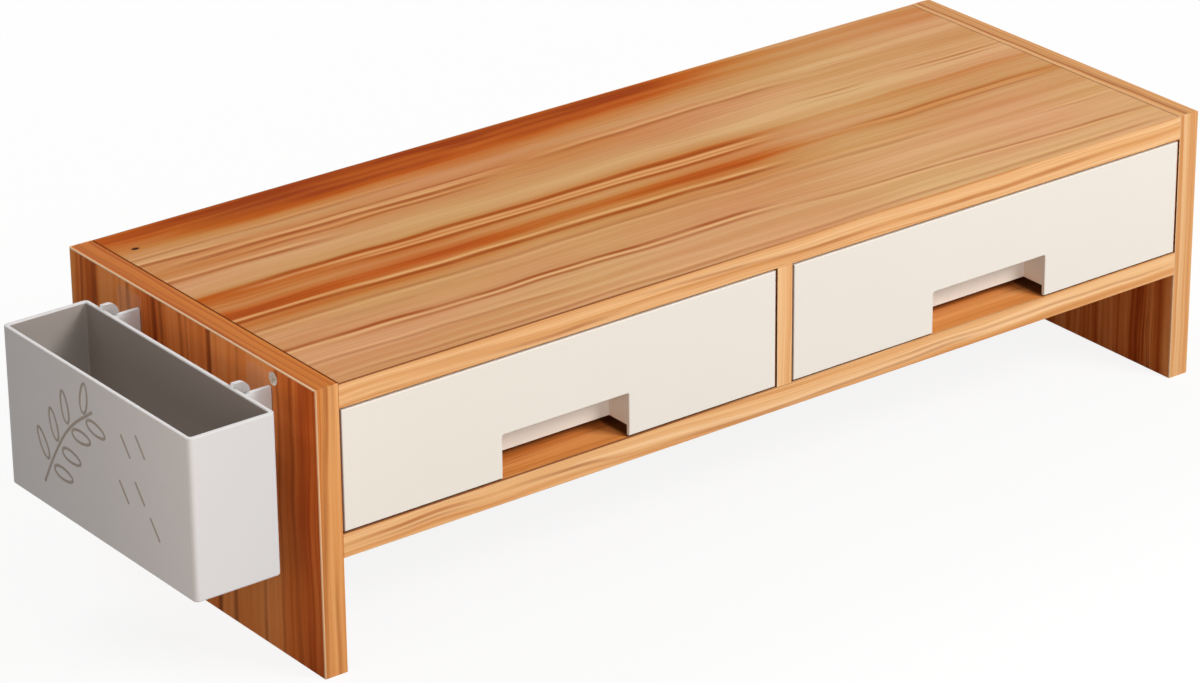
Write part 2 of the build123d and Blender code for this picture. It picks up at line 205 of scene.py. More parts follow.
def ramp(net, factor, stops):
    """A colour ramp from (place, colour) pairs; returns its colour output."""
    made = put(net, "ValToRGB", {"Fac": factor})
    elements = made.color_ramp.elements
    while len(elements) < len(stops):
        elements.new(0.5)
    for element, (place, colour) in zip(elements, stops):
        element.position = place
        element.color = colour
    return made.outputs["Color"]


def new_group(name, build, inputs):
    """A shader node group; an input named Vector or Color is of that kind, and any other is a number."""
    group = bpy.data.node_groups.new(name, "ShaderNodeTree")
    interface = group.interface
    for label, value in inputs.items():
        kind = label if label in ("Vector", "Color") else "Float"
        socket = interface.new_socket(label, in_out="INPUT", socket_type="NodeSocket" + kind)
        socket.default_value = value
    made = build(group, group.nodes.new("NodeGroupInput").outputs)
    kinds = {"VALUE": "Float", "VECTOR": "Vector", "RGBA": "Color"}
    for label, value in made.items():
        interface.new_socket(label, in_out="OUTPUT", socket_type="NodeSocket" + kinds[value.type])
    fill(group, group.nodes.new("NodeGroupOutput"), made)
    print("group:", name, "nodes:", len(group.nodes))
    return group


def use_group(net, group, inputs):
    """Places a node group in a net; returns its outputs."""
    return put(net, "Group", inputs, node_tree=group).outputs


def bumps(net, height, strength, distance):
    """A slight relief; returns its normal."""
    inputs = {"Strength": strength, "Distance": distance, "Height": height}
    return put(net, "Bump", inputs).outputs[0]


def surface(colour, roughness, normal, specular):
    """Colour, sheen and relief by the names of the Principled shader's inputs."""
    return {"Base Color": colour, "Roughness": roughness, "Normal": normal, "Specular IOR Level": specular}


def new_material(name, build, *values, **choices):
    """A material whose Principled shader gets the inputs that a build function returns."""
    material = bpy.data.materials.new(name)
    material.use_nodes = True
    net = material.node_tree
    fill(net, net.nodes["Principled BSDF"], build(net, *values, **choices))
    return material


def vector_of(net, first, second, third):
    """A vector from three values."""
    return put(net, "CombineXYZ", {0: first, 1: second, 2: third}).outputs[0]


print("helpers ready")

# %% [markdown]
# ## Printed wood
# The boards are not solid wood: a paper foil with a photographed grain is pressed onto them. The grain runs
# along each board in long streaks that wander a little. Noise that is stretched along the board gives the
# streaks, once in broad bands and once in thin ones. A saw-tooth of the same noise gives growth lines,
# because its rise is soft and its jump is sharp. The group gives masks only, and each board mixes its own
# colours from them.

# %% Node group for the printed grain
# Waves of noise per metre along, across and through a board
slow_waves = (5.0, 11.0, 11.0)
quick_waves = (17.0, 34.0, 34.0)
patch_waves = (4.0, 25.0, 25.0)
fibre_waves = (18.0, 1500.0, 200.0)
# The seed moves the noise by its own share along each axis
seed_shares = (1.73, 0.917, 0.371)


def noise(net, vector, waves, detail=2.0, roughness=0.5):
    """Noise with its own number of waves per metre along each axis; returns its factor."""
    scaled = put(net, "VectorMath", {0: vector, 1: waves}, operation="MULTIPLY")
    inputs = {"Vector": scaled.outputs[0], "Scale": 1.0, "Detail": detail, "Roughness": roughness}
    return put(net, "TexNoise", inputs).outputs["Fac"]


def shifted(net, vector, shift):
    """A vector moved by another."""
    return put(net, "VectorMath", {0: vector, 1: shift}, operation="ADD").outputs[0]


def build_grain(net, sockets):
    """Wires the grain group."""
    seed_shift = vector_of(net, *[times(net, sockets["Seed"], share) for share in seed_shares])
    placed = shifted(net, sockets["Vector"], seed_shift)
    slow = minus(net, noise(net, placed, slow_waves), 0.5)
    drift = varied(net, slow, noise(net, placed, quick_waves, 1.0), 0.55)
    shift = vector_of(net, 0.0, times(net, drift, sockets["Wander"], 2.0), 0.0)
    wandered = shifted(net, placed, shift)
    across = calc(net, "DIVIDE", 1.0, sockets["Streak Width"])
    broad = vector_of(net, 1.6, across, 3.0)
    tone = noise(net, wandered, broad, 4.0, 0.62)
    thin = vector_of(net, 5.0, times(net, across, 5.0), 9.0)
    fine = noise(net, wandered, thin, 3.0, 0.6)
    saw = calc(net, "FRACT", times(net, tone, sockets["Line Count"]))
    sharp = calc(net, "POWER", saw, 6.0)
    patches = spread(net, noise(net, placed, patch_waves), 0.40, 0.60)
    line = times(net, sharp, patches)
    fibre = noise(net, wandered, fibre_waves, 3.0, 0.6)
    plain = shifted(net, sockets["Vector"], shift)
    return {"Tone": tone, "Fine": fine, "Line": line, "Fibre": fibre, "Wandered": plain}


no_shift = (0.0, 0.0, 0.0)
grain_inputs = {"Vector": no_shift, "Seed": 0.0, "Streak Width": 0.012, "Wander": 0.004, "Line Count": 9.0}
grain = new_group("printed grain", build_grain, grain_inputs)

# %% [markdown]
# ## One long growth line
# Some lines on the top are so strong that the eye knows the board by them. Noise can't put a line at one
# place, so this group draws a single one. It is dark, with a pale streak beside it, and both ends fade. The
# pale streak lies behind the line or in front of it, as its side says.

# %% Node group for one growth line
row_inputs = {"Place": 0.1, "Slope": 0.0, "Width": 0.002, "Start": 0.0, "End": 1.0, "Glow Side": 1.0}
line_fade = 0.045


def build_growth_line(net, sockets):
    """Wires the growth line group: the distance to a sloping line, shaped and ended."""
    beyond = minus(net, sockets["Along"], sockets["Start"])
    line_y = calc(net, "MULTIPLY_ADD", beyond, sockets["Slope"], sockets["Place"])
    away = calc(net, "DIVIDE", minus(net, sockets["Across"], line_y), sockets["Width"])
    core = spread(net, calc(net, "ABSOLUTE", away), 0.15, 1.00, 1.0, 0.0)
    from_glow = minus(net, times(net, away, sockets["Glow Side"]), 1.20)
    glow = spread(net, calc(net, "ABSOLUTE", from_glow), 0.1, 0.85, 1.0, 0.0)
    begins = spread(net, beyond, -line_fade * 0.3, line_fade)
    left_over = minus(net, sockets["End"], sockets["Along"])
    stops = spread(net, left_over, 0.0, line_fade)
    ends = times(net, begins, stops, sockets["Break"])
    return {"Dark": times(net, core, ends), "Glow": times(net, glow, ends)}


line_inputs = {"Along": 0.0, "Across": 0.0, "Break": 1.0, **row_inputs}
growth = new_group("growth line", build_growth_line, line_inputs)

# %% [markdown]
# ## The top board
# Seen from the front left, the top has a dark red band along its rear edge, a pair of red-brown bands
# across its middle, and pale honey in between. The dark bands fade out past the middle of the length. The
# zones are a ramp over the depth, bent by the grain group's wander, and noise breaks them up.

# %% Colours and zones of the top board
brown_colours = linear_all((221, 175, 126), (207, 152, 100), (199, 128, 66), (188, 92, 20), (150, 56, 0))
brown_places = (0.0, 0.22, 0.48, 0.74, 1.0)
honey_pale, honey, amber, russet = brown_colours[:4]
line_brown = linear(156, 68, 2)
line_pale = linear(246, 196, 134)
seam_brown = linear(118, 54, 14)
knot_brown = linear(52, 20, 6)
# Two faint tints that the print drifts between: each one a factor on red, green and blue
straw_tint = (0.97, 1.00, 0.92, 1.0)
blush_tint = (1.00, 0.91, 0.94, 1.0)

# Millimetres behind the front edge, and how dark the print is there
top_zones = (
    (0, 0.34), (4, 0.16), (24, 0.12), (40, 0.17), (60, 0.22), (70, 0.3), (76, 0.42), (80, 0.48),
    (83, 0.6), (85, 0.84), (91, 0.8), (94, 0.6), (97, 0.4), (101, 0.46), (106, 0.6), (112, 0.68),
    (114, 0.3), (117, 0.17), (131, 0.15), (136, 0.26), (146, 0.4), (156, 0.34), (162, 0.22),
    (170, 0.28), (176, 0.52), (182, 0.84), (188, 1), (195, 1), (200, 0.78),
)
# The middle bands and the rear band: where they fade from and to along the length, how much is left over
# beyond that, and how strong they are at the left end
band_fades = ((0.300, 0.255), (0.365, 0.460), (0.46, 0.30), (1.0, 0.66))
# Over these stretches the rear band takes over from the middle ones, and a band gains its full strength
rear_begins = (0.13, 0.18)
band_begins = (0.02, 0.10)
seam_edge = (0.4 * MM, 1.1 * MM)

# One line each, in millimetres: place behind the front edge, slope as a ratio, width, start and end along
# the length; then its strength and the side of its pale streak
top_lines = (
    (5, 0, 2.2, 10, 520, 0.4, 1),
    (24.4, -0.018, 1.8, -50, 170, 0.4, 1),
    (43.5, -0.02, 2.2, -50, 300, 0.95, -1),
    (36.5, -0.02, 2, 55, 295, 0.7, 1),
    (57.5, -0.01, 2.6, 20, 110, 0.25, 1),
    (68.1, -0.012, 2.4, -50, 330, 0.38, -1),
    (81.1, -0.022, 2.6, -50, 335, 0.95, 1),
    (104, -0.016, 2.2, 80, 345, 0.85, 1),
    (113.5, -0.014, 2.6, 30, 350, 0.9, -1),
    (137.3, -0.026, 2.2, -50, 115, 0.75, 1),
    (142.5, 0.006, 2, 45, 210, 0.6, 1),
    (150, -0.01, 2.6, 20, 220, 0.85, 1),
    (162.6, -0.052, 2.2, -50, 85, 0.7, 1),
    (156, 0, 1.8, 80, 230, 0.6, -1),
    (153, 0.004, 2.2, 225, 400, 0.6, 1),
    (166.6, -0.002, 2, -50, 190, 0.35, 1),
    (131, 0, 1.6, 370, 430, 0.7, 1),
    (126, 0, 1.4, 372, 430, 0.55, 1),
    (132, -0.004, 1.6, 440, 520, 0.75, 1),
    (127.5, -0.008, 1.4, 445, 520, 0.6, 1),
    (89.5, -0.008, 1.8, 360, 520, 0.55, -1),
    (83.5, -0.004, 1.8, 370, 520, 0.45, 1),
    (63, -0.006, 2.8, 300, 420, 0.35, 1),
    (48, -0.04, 1.8, 455, 520, 0.45, 1),
    (31, -0.045, 1.8, 290, 520, 0.6, -1),
)
line_strength = 0.95
glow_strength = 0.55
knot_place = (0.0225, 0.1800)
knot_size = (0.0019, 0.0012)
knot_edge = (0.5, 1.8)


def shade_by(net, colour, value, low, high):
    """Multiplies a colour by a grey between low and high, as a noise value goes from 0.3 to 0.7."""
    return shaded(net, colour, spread(net, value, 0.3, 0.7, low, high, smooth=False))


def wood_surface(net, streaks, colour, lines, line_depth=0.6, gloss=0.44):
    """The printed foil's colour, sheen and slight relief; strong lines are pressed in."""
    height = calc(net, "MULTIPLY_ADD", lines, -line_depth, streaks["Fibre"])
    roughness = spread(net, streaks["Tone"], 0.2, 0.8, gloss, gloss + 0.12)
    return surface(colour, roughness, bumps(net, height, 0.25, 0.2 * MM), specular=0.02)


print("zones:", len(top_zones), "lines:", len(top_lines))

# %% Helpers for a printed board
# Waves per metre: blotches in a zone, breaks in a strong line, and the drift between the two tints
blotch_waves = (9.0, 60.0, 9.0)
break_waves = (24.0, 90.0, 1.0)
tint_waves = (8.0, 26.0, 9.0)


def printed_grain(net, axes, seed, streak_width, wander, line_count=9.0):
    """The grain group along the first of the axes; returns its masks and the wandered place's parts."""
    parts = split(net, object_place(net))
    turned_place = vector_of(net, *[parts[axis] for axis in axes])
    values = (turned_place, seed, streak_width, wander, line_count)
    streaks = use_group(net, grain, dict(zip(grain_inputs, values)))
    return streaks, split(net, streaks["Wandered"])


def print_ramp(net, tone, colours, places=(0.0, 0.35, 0.65, 1.0)):
    """The colours of a print as it gets darker."""
    return ramp(net, tone, list(zip(places, colours)))


def streaked_colour(net, streaks, colours, thin, darkest):
    """A print without zones, from its broad and its thin streaks."""
    tone = varied(net, streaks["Tone"], streaks["Fine"], thin)
    return print_ramp(net, spread(net, tone, 0.32, darkest, smooth=False), colours)


def laid_on(net, colour, over, mask, amount):
    """A colour with another laid over it by a mask."""
    return blend(net, times(net, mask, amount), colour, over)


def zoned_tone(net, behind_front, zones):
    """How dark the print is over the depth of a board, before the streaks: a ramp of the zones."""
    stops = [(at * MM / stand_depth, grey(dark)) for at, dark in zones]
    return ramp(net, calc(net, "DIVIDE", behind_front, stand_depth), stops)


def with_streaks(net, streaks, zone, broad, thin):
    """Breaks a zone up in patches and adds the grain group's broad and thin streaks."""
    patches = noise(net, streaks["Wandered"], blotch_waves)
    zone = times(net, zone, spread(net, patches, 0.3, 0.7, 0.78, 1.22, smooth=False))
    tone = varied(net, varied(net, zone, streaks["Tone"], broad), streaks["Fine"], thin)
    return calc(net, "ADD", tone, 0.02, clamp=True)


def growth_lines(net, lengthwise, across, rows, width_share=1.0):
    """All strong lines of a board; returns their dark and pale masks."""
    spot = vector_of(net, lengthwise, across, 0.0)
    breaks = spread(net, noise(net, spot, break_waves), 0.28, 0.58, 0.62, 1.0)
    dark = 0.0
    pale = 0.0
    for place, slope, width, start, end, strength, side in rows:
        values = (place * MM, slope, width * width_share * MM, start * MM, end * MM, side)
        inputs = {"Along": lengthwise, "Across": across, "Break": breaks, **dict(zip(row_inputs, values))}
        made = use_group(net, growth, inputs)
        dark = calc(net, "MAXIMUM", times(net, made["Dark"], strength), dark)
        pale = calc(net, "MAXIMUM", times(net, made["Glow"], strength), pale)
    return dark, pale


# %% Material of the top board
def knot_mask(net, from_left, behind_front):
    """A small dark knot near the rear left corner."""
    squares = 0.0
    for here, middle, size in zip((from_left, behind_front), knot_place, knot_size):
        away = calc(net, "DIVIDE", minus(net, here, middle), size)
        squares = calc(net, "MULTIPLY_ADD", away, away, squares)
    return spread(net, squares, *knot_edge, 1.0, 0.0)


def top_print(net):
    """Printed foil of the top board, with its zones and strong lines."""
    streaks, place = printed_grain(net, (0, 1, 2), 3.1, 0.011, 0.0045)
    from_left = minus(net, place[0], stand_left)
    behind_front = minus(net, place[1], stand_front)
    fade_from, fade_to, left_over, start = [
        spread(net, behind_front, *rear_begins, middle, rear) for middle, rear in band_fades
    ]
    fading = spread(net, from_left, fade_from, fade_to, 1.0, left_over)
    starting = spread(net, from_left, *band_begins, start, 1.0)
    zone = times(net, zoned_tone(net, behind_front, top_zones), fading, starting)
    colour = print_ramp(net, with_streaks(net, streaks, zone, 0.74, 0.30), brown_colours, brown_places)
    drift = noise(net, streaks["Wandered"], tint_waves)
    colour = multiplied(net, colour, ramp(net, drift, ((0.36, straw_tint), (0.64, blush_tint))))
    dark, pale = growth_lines(net, from_left, behind_front, top_lines)
    colour = laid_on(net, colour, line_brown, streaks["Line"], 0.18)
    colour = laid_on(net, colour, line_pale, pale, glow_strength)
    colour = laid_on(net, colour, line_brown, dark, line_strength)
    colour = blend(net, knot_mask(net, from_left, behind_front), colour, knot_brown)
    colour = shade_by(net, colour, streaks["Fibre"], 0.95, 1.03)
    left_end = minus(net, place[0], top_low.x)
    right_end = minus(net, top_high.x, place[0])
    seam = spread(net, calc(net, "MINIMUM", left_end, right_end), *seam_edge, 0.95, 0.0)
    colour = blend(net, seam, colour, seam_brown)
    return wood_surface(net, streaks, colour, dark, gloss=0.42)


top_material = new_material("top board print", top_print)
print("material:", top_material.name, "nodes:", len(top_material.node_tree.nodes))

# %% [markdown]
# ## The other boards
# The side boards carry the same print turned upright, redder and darker, with stronger growth lines. One
# function makes all of them: it takes the order of the axes, the colours and a seed, so no two boards show
# the same stretch of print.

# %% Materials of the sides, the shelf, the divider, the rear board and the dowels
cherry_colours = linear_all((252, 168, 102), (240, 145, 76), (216, 115, 50), (178, 78, 28))
amber_colours = (honey, amber, amber, russet)
beech_colours = (honey_pale, honey, honey, amber)
shelf_colours = linear_all((248, 174, 104), (240, 159, 88), (229, 145, 73), (208, 121, 52))
cherry_line = linear(112, 38, 8)
shade_brown = linear(52, 20, 6)
notch_half = 35.5 * MM
shade_soft = 1.5 * MM
shade_begins = (19.0 * MM, 26.0 * MM)
shade_share = 0.8


def under_tray_shade(net):
    """How much the shelf is in the shade of the drawer trays, behind and beside each finger notch."""
    parts = split(net, object_place(net))
    aside = 1.0
    for tray in ("left_drawer_tray", "right_drawer_tray"):
        low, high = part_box(tray)
        off_middle = calc(net, "ABSOLUTE", minus(net, parts[0], (low.x + high.x) * 0.5))
        aside = calc(net, "MINIMUM", off_middle, aside)
    beside = spread(net, aside, notch_half - shade_soft, notch_half + shade_soft)
    behind = spread(net, minus(net, parts[1], stand_front), *shade_begins)
    upward = above(net, looking(net, 2), 0.5)
    return times(net, calc(net, "MAXIMUM", beside, behind), upward)


def plain_print(net, axes, seed, width, colours, line_colour, line_amount, under_trays=False):
    """Printed foil for a plain board whose grain runs along the first of the axes."""
    streaks, place = printed_grain(net, axes, seed, width, 0.003, 8.0)
    colour = streaked_colour(net, streaks, colours, 0.35, 0.68)
    lines = times(net, streaks["Line"], line_amount)
    colour = blend(net, lines, colour, line_colour)
    colour = shade_by(net, colour, streaks["Fibre"], 0.93, 1.05)
    if under_trays:
        colour = laid_on(net, colour, shade_brown, under_tray_shade(net), shade_share)
    return wood_surface(net, streaks, colour, lines, line_depth=0.5)


# Millimetres behind the front edge, and how dark the print of the left side is there
left_zones = (
    (0, 0.84), (10, 0.9), (16, 0.7), (21, 0.6), (30, 0.52), (34, 0.26), (46, 0.18), (56, 0.24),
    (60, 0.4), (63, 0.26), (80, 0.22), (84, 0.52), (100, 0.4), (112, 0.38), (120, 0.5), (126, 0.7),
    (136, 0.62), (142, 0.38), (150, 0.24), (164, 0.26), (173, 0.34), (178, 0.64), (184, 0.74),
    (192, 0.66), (196, 0.38), (200, 0.32),
)
# The left side's print is painted lighter by this gain, rising between these two heights: painted light on
# the board's upper part, which is open to light from above
left_lit_heights = (0.100, 0.128)
left_painted_light_gain = 1.15
left_line_strength = 0.72
left_glow_strength = 0.30
left_lines = (
    (15.5, 0.01, 2.2, -100, 200, 0.35, 1),
    (31, -0.012, 1.8, -100, 200, 0.45, 1),
    (44, 0.004, 2.2, -100, 70, 0.6, 1),
    (60, 0.006, 2, 20, 200, 0.5, 1),
    (69, 0.003, 2.8, -100, 80, 0.8, -1),
    (83, -0.004, 3, -100, 200, 1, -1),
    (99, 0.01, 1.8, -100, 200, 0.35, 1),
    (108, -0.008, 2.2, -100, 200, 0.45, -1),
    (121, 0.006, 2, -100, 200, 0.6, 1),
    (128.5, -0.004, 2.8, -100, 200, 0.85, -1),
    (146.5, 0.004, 2.4, -100, 200, 0.7, 1),
    (156, -0.008, 1.8, -100, 200, 0.35, 1),
    (177, 0.003, 2.8, -100, 200, 0.8, -1),
    (189, -0.006, 2, -100, 200, 0.45, 1),
)


def left_print(net):
    """Printed foil of the left side board, with its own zones and strong lines."""
    streaks, place = printed_grain(net, (2, 1, 0), 11.0, 0.008, 0.0050)
    behind_front = minus(net, place[1], stand_front)
    tone = with_streaks(net, streaks, zoned_tone(net, behind_front, left_zones), 0.9, 0.6)
    colour = print_ramp(net, tone, cherry_colours)
    dark, pale = growth_lines(net, place[0], behind_front, left_lines)
    colour = laid_on(net, colour, cherry_colours[1], pale, left_glow_strength)
    colour = laid_on(net, colour, cherry_line, dark, left_line_strength)
    colour = shade_by(net, colour, streaks["Fibre"], 0.93, 1.04)
    # Painted light: the print is made lighter towards the top of the board
    colour = shade_by(net, colour, spread(net, place[0], *left_lit_heights), 1.0, left_painted_light_gain)
    return wood_surface(net, streaks, colour, dark)


left_material = new_material("left side print", left_print)
# One print each: name, order of the axes, seed, streak width, colours, and the lines' colour and strength
prints = (
    ("right side print", (2, 1, 0), 17.0, 0.010, cherry_colours, cherry_line, 0.85),
    ("shelf print", (0, 1, 2), 23.0, 0.010, shelf_colours, line_brown, 0.5, True),
    ("divider print", (1, 2, 0), 31.0, 0.009, amber_colours, line_brown, 0.7),
    ("rear board print", (0, 2, 1), 37.0, 0.012, cherry_colours, cherry_line, 0.6),
    ("beech dowel", (0, 1, 2), 61.0, 0.004, beech_colours, line_brown, 0.3),
)
board_materials = [new_material(name, plain_print, *values) for name, *values in prints]
right_material, shelf_material, divider_material, rear_material, dowel_material = board_materials
print("board materials:", len(board_materials) + 1)

# %% [markdown]
# ## Edge bands
# A strip of plastic with a lighter print hides the raw edge of each board, with fine grain along the strip.
# Where it meets the foil of a board there is a thin dark seam, and along the edges of a side's strip a pale
# line
# is painted: the trimmed pale core, with a painted highlight of the rounded edge. The strips on a side
# board run upright in front and behind, and along the depth on top, so their material turns the grain where
# the top strip begins.

# %% Colours and lines of the edge bands
band_colours = linear_all((249, 203, 152), (241, 187, 131), (229, 167, 107), (208, 138, 78))
band_line = linear(164, 84, 28)
strip_line = linear(140, 56, 0)
# Pale core of a trimmed strip, with a painted highlight of its rounded edge
pale_core_highlight = linear(255, 220, 178)
edge_line_width = 0.52 * MM
strip_inner = 0.9 * MM
strip_outer = 1.0 * MM
# Painted shade, with a dark glue line, on a strip's own sides beside the drawers
glue_and_shade_brown = linear(60, 24, 8)
# The seam above a level strip gets fainter over this stretch from the left end
seam_fades = (0.16, 0.34)
# Lines as on the top board. Across is measured from a level strip's foot, or from a side strip's left edge
top_band_lines = (
    (4, 0, 1.6, 16, 56, 0.7, -1),
    (7.8, 0.004, 1.4, 45, 110, 0.35, 1),
    (3.8, -0.003, 1.8, 84, 180, 0.8, -1),
    (8.8, -0.03, 1.6, 170, 330, 0.6, 1),
    (5, 0.006, 1.8, 330, 470, 0.6, -1),
)
shelf_band_lines = (
    (6.7, 0, 1.8, 6, 104, 0.8, -1),
    (4.2, 0.002, 1.4, 12, 100, 0.6, 1),
    (7, -0.05, 1.8, 94, 180, 0.8, -1),
    (3, 0.01, 1.8, 180, 400, 0.6, 1),
    (8, -0.012, 1.4, 300, 520, 0.5, -1),
)
# The look of one strip each: its colours, the colour of its lines, and its lines
plain_look = (band_colours, band_line, ())
left_upright = (
    linear_all((238, 177, 115), (226, 156, 92), (212, 134, 70), (189, 105, 45)),
    linear(134, 66, 20),
    (
        (-1, 0.025, 2.6, -100, 200, 0.55, 1),
        (9.4, -0.006, 2, -100, 68, 0.5, -1),
        (7.8, 0.01, 1.6, 95, 200, 0.35, 1),
    ),
)
left_strip = (
    linear_all((207, 128, 47), (197, 110, 30), (183, 94, 16), (156, 68, 2)),
    strip_line,
    ((2, 0, 1.8, -50, 130, 0.6, 1), (7, -0.012, 1.6, -50, 250, 0.4, -1)),
)
right_upright = (
    linear_all((238, 190, 138), (229, 173, 117), (217, 152, 94), (196, 124, 66)),
    band_line,
    (),
)
right_strip = (
    linear_all((226, 172, 114), (214, 154, 94), (200, 138, 78), (178, 112, 54)),
    strip_line,
    ((4.2, 0, 1.4, -50, 250, 0.85, 1),),
)
print("lines on level strips:", len(top_band_lines) + len(shelf_band_lines))


# %% Materials of the edge bands
def strip_look(net, axes, seed, look, origin):
    """Colour and fibre of a strip; the origin is where its length and its width begin."""
    colours, line_colour, rows = look
    streaks, place = printed_grain(net, axes, seed, 0.0042, 0.0034)
    lengthwise = minus(net, place[0], origin[0])
    across = minus(net, place[1], origin[1])
    colour = streaked_colour(net, streaks, colours, 0.40, 0.70)
    dark, pale = growth_lines(net, lengthwise, across, rows, 0.8)
    lines = calc(net, "MAXIMUM", times(net, streaks["Line"], 0.35), dark)
    colour = laid_on(net, colour, colours[0], pale, 0.5)
    colour = laid_on(net, colour, line_colour, lines, 0.8)
    return colour, streaks["Fibre"]


def edge_line(net, colour, axis, edge, side, amount, line_colour):
    """A thin line along one long edge; side is 1 where the strip lies beyond the edge, else -1."""
    inward = times(net, minus(net, split(net, object_place(net))[axis], edge), side)
    mask = spread(net, inward, edge_line_width * 0.6, edge_line_width * 1.2, amount, 0.0)
    return blend(net, mask, colour, line_colour)


def band_surface(net, colour, fibre):
    """A band's colour, sheen and relief."""
    roughness = spread(net, fibre, 0.3, 0.7, 0.38, 0.50)
    return surface(colour, roughness, bumps(net, fibre, 0.2, 0.1 * MM), specular=0.08)


def level_band(net, seed, low, high, rows):
    """Band on the front or rear edge of a level board, grain along the length."""
    look = (band_colours, band_line, rows)
    colour, fibre = strip_look(net, (0, 2, 1), seed, look, (stand_left, low))
    from_left = minus(net, split(net, object_place(net))[0], stand_left)
    seam = spread(net, from_left, *seam_fades, 0.85, 0.25)
    colour = edge_line(net, colour, 2, high, -1.0, seam, seam_brown)
    return band_surface(net, colour, fibre)


def glue_and_shade_sides(net, colour, place):
    """Darkens a strip's own sides beside the drawers: painted shade, and a dark glue line."""
    facing = split(net, put(net, "NewGeometry").outputs["Normal"])
    tests = (
        above(net, calc(net, "ABSOLUTE", facing[0]), 0.7),
        above(net, place[0], left_low.x + strip_outer),
        above(net, right_high.x - strip_outer, place[0]),
        above(net, place[2], shelf_high.z),
        above(net, top_low.z, place[2]),
    )
    return blend(net, times(net, *tests), colour, glue_and_shade_brown)


def side_bands(net, seed, upright_look, level_look, low, core_highlights):
    """Bands of a side board: upright grain, turned along the depth on the top strip."""
    upright, fibre = strip_look(net, (2, 0, 1), seed, upright_look, (0.0, low))
    level, level_fibre = strip_look(net, (1, 0, 2), seed + 5.0, level_look, (stand_front, low))
    # Pale lines along the strip's edges: the trimmed core with a painted highlight
    for edge, side, level_share, upright_share in core_highlights:
        level = edge_line(net, level, 0, edge, side, level_share, pale_core_highlight)
        upright = edge_line(net, upright, 0, edge, side, upright_share, pale_core_highlight)
    place = split(net, object_place(net))
    on_front = above(net, stand_front + strip_inner, place[1])
    on_rear = above(net, place[1], stand_rear - strip_inner)
    colour = blend(net, calc(net, "MAXIMUM", on_front, on_rear), level, upright)
    colour = glue_and_shade_sides(net, colour, place)
    return band_surface(net, colour, calc(net, "MAXIMUM", fibre, level_fibre))


shelf_low, shelf_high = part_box("drawer_shelf")
divider_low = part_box("centre_divider")[0]
# Where the pale core and its painted highlight show: an edge, its side, and how much shows on the level
# strip and on the upright one
divider_core_highlights = ((divider_low.x, 1.0, 0.0, 0.5),)
left_core_highlights = ((left_low.x, 1.0, 1.0, 0.7),)
right_core_highlights = ((right_low.x, 1.0, 0.30, 0.6), (right_high.x, -1.0, 0.40, 0.6))
# One material each: its name, its build function, and what that function takes
bands = (
    ("top edge band", level_band, 41.0, top_low.z, top_high.z, top_band_lines),
    ("shelf edge band", level_band, 44.0, shelf_low.z, shelf_high.z, shelf_band_lines),
    ("divider edge band", side_bands, 43.0, plain_look, plain_look, divider_low.x, divider_core_highlights),
    ("left edge bands", side_bands, 47.0, left_upright, left_strip, left_low.x, left_core_highlights),
    ("right edge bands", side_bands, 53.0, right_upright, right_strip, right_low.x, right_core_highlights),
)
band_materials = [new_material(*values) for values in bands]
top_band_material, shelf_band_material, divider_band_material = band_materials[:3]
left_band_material, right_band_material = band_materials[3:]
print("band materials:", len(band_materials))

# %% [markdown]
# ## Moulded plastic
# The drawers and the pen box come out of steel moulds that were finished with a fine spark texture. It
# breaks up reflections without being seen as bumps. A faint cloudiness and slightly uneven gloss keep large
# flat faces from looking like paint. One group serves both plastics.

# %% Node group for a moulded surface
cloud_waves = [14.0] * 3
spot_waves = [90.0] * 3
spark_waves = [2600.0] * 3


def build_mould(net, sockets):
    """Wires the moulded surface group."""
    place = sockets["Vector"]
    level = varied(net, 1.0, noise(net, place, cloud_waves, 3.0), sockets["Cloudiness"])
    colour = shaded(net, sockets["Color"], level)
    roughness = varied(net, sockets["Gloss"], noise(net, place, spot_waves), 0.12)
    sparks = noise(net, place, spark_waves)
    return {"Color": colour, "Roughness": roughness, "Normal": bumps(net, sparks, 0.12, 0.05 * MM)}


mould_inputs = {"Vector": no_shift, "Color": (0.8, 0.8, 0.8, 1.0), "Cloudiness": 0.04, "Gloss": 0.42}
mould = new_group("moulded surface", build_mould, mould_inputs)

# %% Materials of the drawers, the pen box, the film and the steel
cream = linear(239, 231, 220)
light_grey = linear(218, 216, 216)
# The brackets are the box's own plastic, painted lighter as painted light where they sit in shade
bracket_painted_light_grey = linear(238, 244, 246)
# A hook's faces get a darker copy of the box's grey, as painted shade
finger_painted_shade = linear(176, 175, 173)
# The box's inside is painted darker as painted shade, and painted lighter deep down as painted light
inside_painted_shade_grey = linear(162, 153, 147)
inside_deep_painted_light = linear(214, 204, 196)
# The grooves of the drawing get a darker grey, as painted shade in them
groove_painted_shade = linear(176, 166, 157)
film_clear = linear(240, 232, 220)
film_alpha = 0.05
bubble_waves = [900.0] * 3
turning_waves = (300.0, 2400.0, 2400.0)
pin_spacing = 52.0 * MM
pin_radius = 4.0 * MM
pin_edge = (0.1 * MM, 0.6 * MM)
pin_limit = 17.0 * MM
pin_shade = linear(176, 164, 150)
pin_share = 0.3
steel = linear(255, 250, 240)


def pin_marks(net, place):
    """Where the mould's ejector pins left thin round lines: level faces near a drawer's floor."""
    parts = split(net, place)
    squares = 0.0
    for axis, start in ((0, divider_low.x), (1, stand_front)):
        steps = calc(net, "DIVIDE", minus(net, parts[axis], start), pin_spacing)
        off = times(net, minus(net, calc(net, "FRACT", steps), 0.5), pin_spacing)
        squares = calc(net, "MULTIPLY_ADD", off, off, squares)
    off_line = calc(net, "ABSOLUTE", minus(net, calc(net, "SQRT", squares), pin_radius))
    line = spread(net, off_line, *pin_edge, 1.0, 0.0)
    level = above(net, looking(net, 2), 0.9)
    below_rim = above(net, shelf_high.z + pin_limit, parts[2])
    return times(net, line, level, below_rim)


